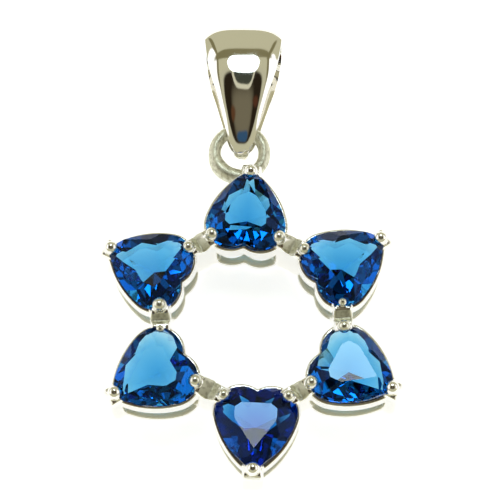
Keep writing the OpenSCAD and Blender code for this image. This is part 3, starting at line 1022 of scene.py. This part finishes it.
# %% Rule: a domed strip along a path
BAIL_POWER = 3.5
ACROSS = 48


def bail_rule():
    tree, given, result = new_tree("domed_strip", ("Section", "Object"), ("Width", "Float"),
                                   ("Wall", "Float"), ("Dome", "Float"), ("Squareness", "Float"),
                                   ("Hollow", "Float"), ("Metal", "Material"))
    path = node(tree, "GeometryNodeMeshToCurve", Mesh=given["Geometry"])
    strip = node(tree, "GeometryNodeObjectInfo", Object=given["Section"])
    section = node(tree, "GeometryNodeMeshToCurve", Mesh=strip.outputs["Geometry"])
    swept = node(tree, "GeometryNodeCurveToMesh", Curve=path.outputs[0],
                 Profile_Curve=section.outputs[0])
    share = node(tree, "ShaderNodeFloatCurve", Value=attribute(tree, "along"))
    curve = share.mapping.curves[0]
    while len(curve.points) < len(BAIL_WIDTHS):
        curve.points.new(0.5, 0.5)
    for point, (x, y) in zip(curve.points, BAIL_WIDTHS):
        point.location = (x, y)
    share.mapping.update()
    across, skin = attribute(tree, "across"), attribute(tree, "skin")
    fall = calc(tree, "POWER", calc(tree, "ABSOLUTE", across), given["Squareness"])
    rise = calc(tree, "MULTIPLY", calc(tree, "MULTIPLY", given["Dome"], share.outputs[0]),
                calc(tree, "SUBTRACT", 1.0, fall))
    followed = node(tree, "ShaderNodeMapRange", Value=skin, From_Min=-1.0, From_Max=1.0,
                    To_Min=given["Hollow"])
    half_wall = calc(tree, "MULTIPLY", given["Wall"], 0.5)
    off = calc(tree, "ADD", calc(tree, "MULTIPLY", half_wall, skin),
               calc(tree, "MULTIPLY", rise, followed.outputs[0]))
    half = calc(tree, "MULTIPLY", calc(tree, "MULTIPLY", given["Width"], 0.5), share.outputs[0])
    side = node(tree, "ShaderNodeCombineXYZ", X=calc(tree, "MULTIPLY", half, across))
    out = calc(tree, "SCALE", attribute(tree, "way", "FLOAT_VECTOR"), kind="ShaderNodeVectorMath")
    feed(tree, out.node.inputs["Scale"], off)
    middle = attribute(tree, "middle", "FLOAT_VECTOR")
    place = calc(tree, "ADD", middle, side.outputs[0], kind="ShaderNodeVectorMath")
    place = calc(tree, "ADD", place, out, kind="ShaderNodeVectorMath")
    moved = node(tree, "GeometryNodeSetPosition", Geometry=swept.outputs[0], Position=place)
    finish_tree(tree, moved.outputs[0], given["Metal"], result)
    return tree


def closed_loop(n):
    return [(k, (k + 1) % n) for k in range(n)]


def section_start():
    """A flat loop whose points say where they lie across the strip and on which skin."""
    share = [math.sin(math.pi * (k / ACROSS - 0.5)) for k in range(ACROSS + 1)]
    across = share + share[::-1]
    skin = [1.0] * len(share) + [-1.0] * len(share)
    points = [(x, s, 0) for x, s in zip(across, skin)]
    return mesh_with("strip", points, closed_loop(len(points)), across=across, skin=skin)


def path_start():
    middle = [(0, y, z) for y, z, a in path]
    return mesh_with("bail_path", middle, closed_loop(len(path)),
                     along=[y / BAIL_L for y, z, a in path],
                     way=[Vector((0, math.cos(a), math.sin(a))) for y, z, a in path],
                     middle=[Vector(p) * MM for p in middle])


strip = add_object("strip", section_start())
bail_sizes = {"Section": strip, "Width": BAIL_W * MM, "Wall": BAIL_T * MM, "Dome": BAIL_DOME * MM,
              "Squareness": BAIL_POWER, "Hollow": BAIL_HOLLOW, "Metal": bright_silver}
bail_metal = grow("bail_metal", bail_rule(), path_start(), bail_sizes)
bpy.data.objects.remove(strip)
print("bail strip:", len(bail_metal.data.polygons), "faces")

# %% [markdown]
# Buffing rounds the bail's long edges. Those edges are the only sharp ones, so a bevel that looks
# at the angle between faces finds them. Then the loop goes to its place: its narrow end hangs on
# the ring, it leans a little to the right, and its broad end rests on the table.

# %% Buffed edges, and the bail on its ring
BAIL_ROUND = 0.1
BUFF_ANGLE, BUFF_STEPS = math.radians(35), 4


def bail_matrix():
    hold = Matrix.Translation(RING_MIDDLE + Vector((BAIL_SLIDE, RING_R, 0)))
    turn = Matrix.Rotation(math.radians(-BAIL_LEAN), 4, "Z") @ Matrix.Rotation(BAIL_PITCH, 4, "X")
    placed = hold @ turn @ Matrix.Translation((0, -BAIL_HOLD, 0))
    placed.translation *= MM
    return placed


buff = bail_metal.modifiers.new("buff", "BEVEL")
buff.limit_method = "ANGLE"
buff.angle_limit = BUFF_ANGLE
buff.width = BAIL_ROUND * MM
buff.segments = BUFF_STEPS
keep_mesh(bail_metal)
bail_metal.data.transform(bail_matrix())
bm = bmesh.new()
bm.from_mesh(bail_metal.data)
bmesh.ops.recalc_face_normals(bm, faces=bm.faces)
bm.to_mesh(bail_metal.data)
bm.free()
bail_metal.data.shade_smooth()
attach(bail_metal, "root")
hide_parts("bail")
print("bail:", triangle_count(bail_metal.data), "triangles")

# %% [markdown]
# Every piece now has its place and finish. The last cell notes the box of the dressed part beside
# the box of the solids.

# %% Sizes and finish
new_low, new_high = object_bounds()
for label, low, high in (("cad", cad_low, cad_high), ("visual", new_low, new_high)):
    print(label, [[round(1000 * c, 3) for c in corner] for corner in (low, high)])
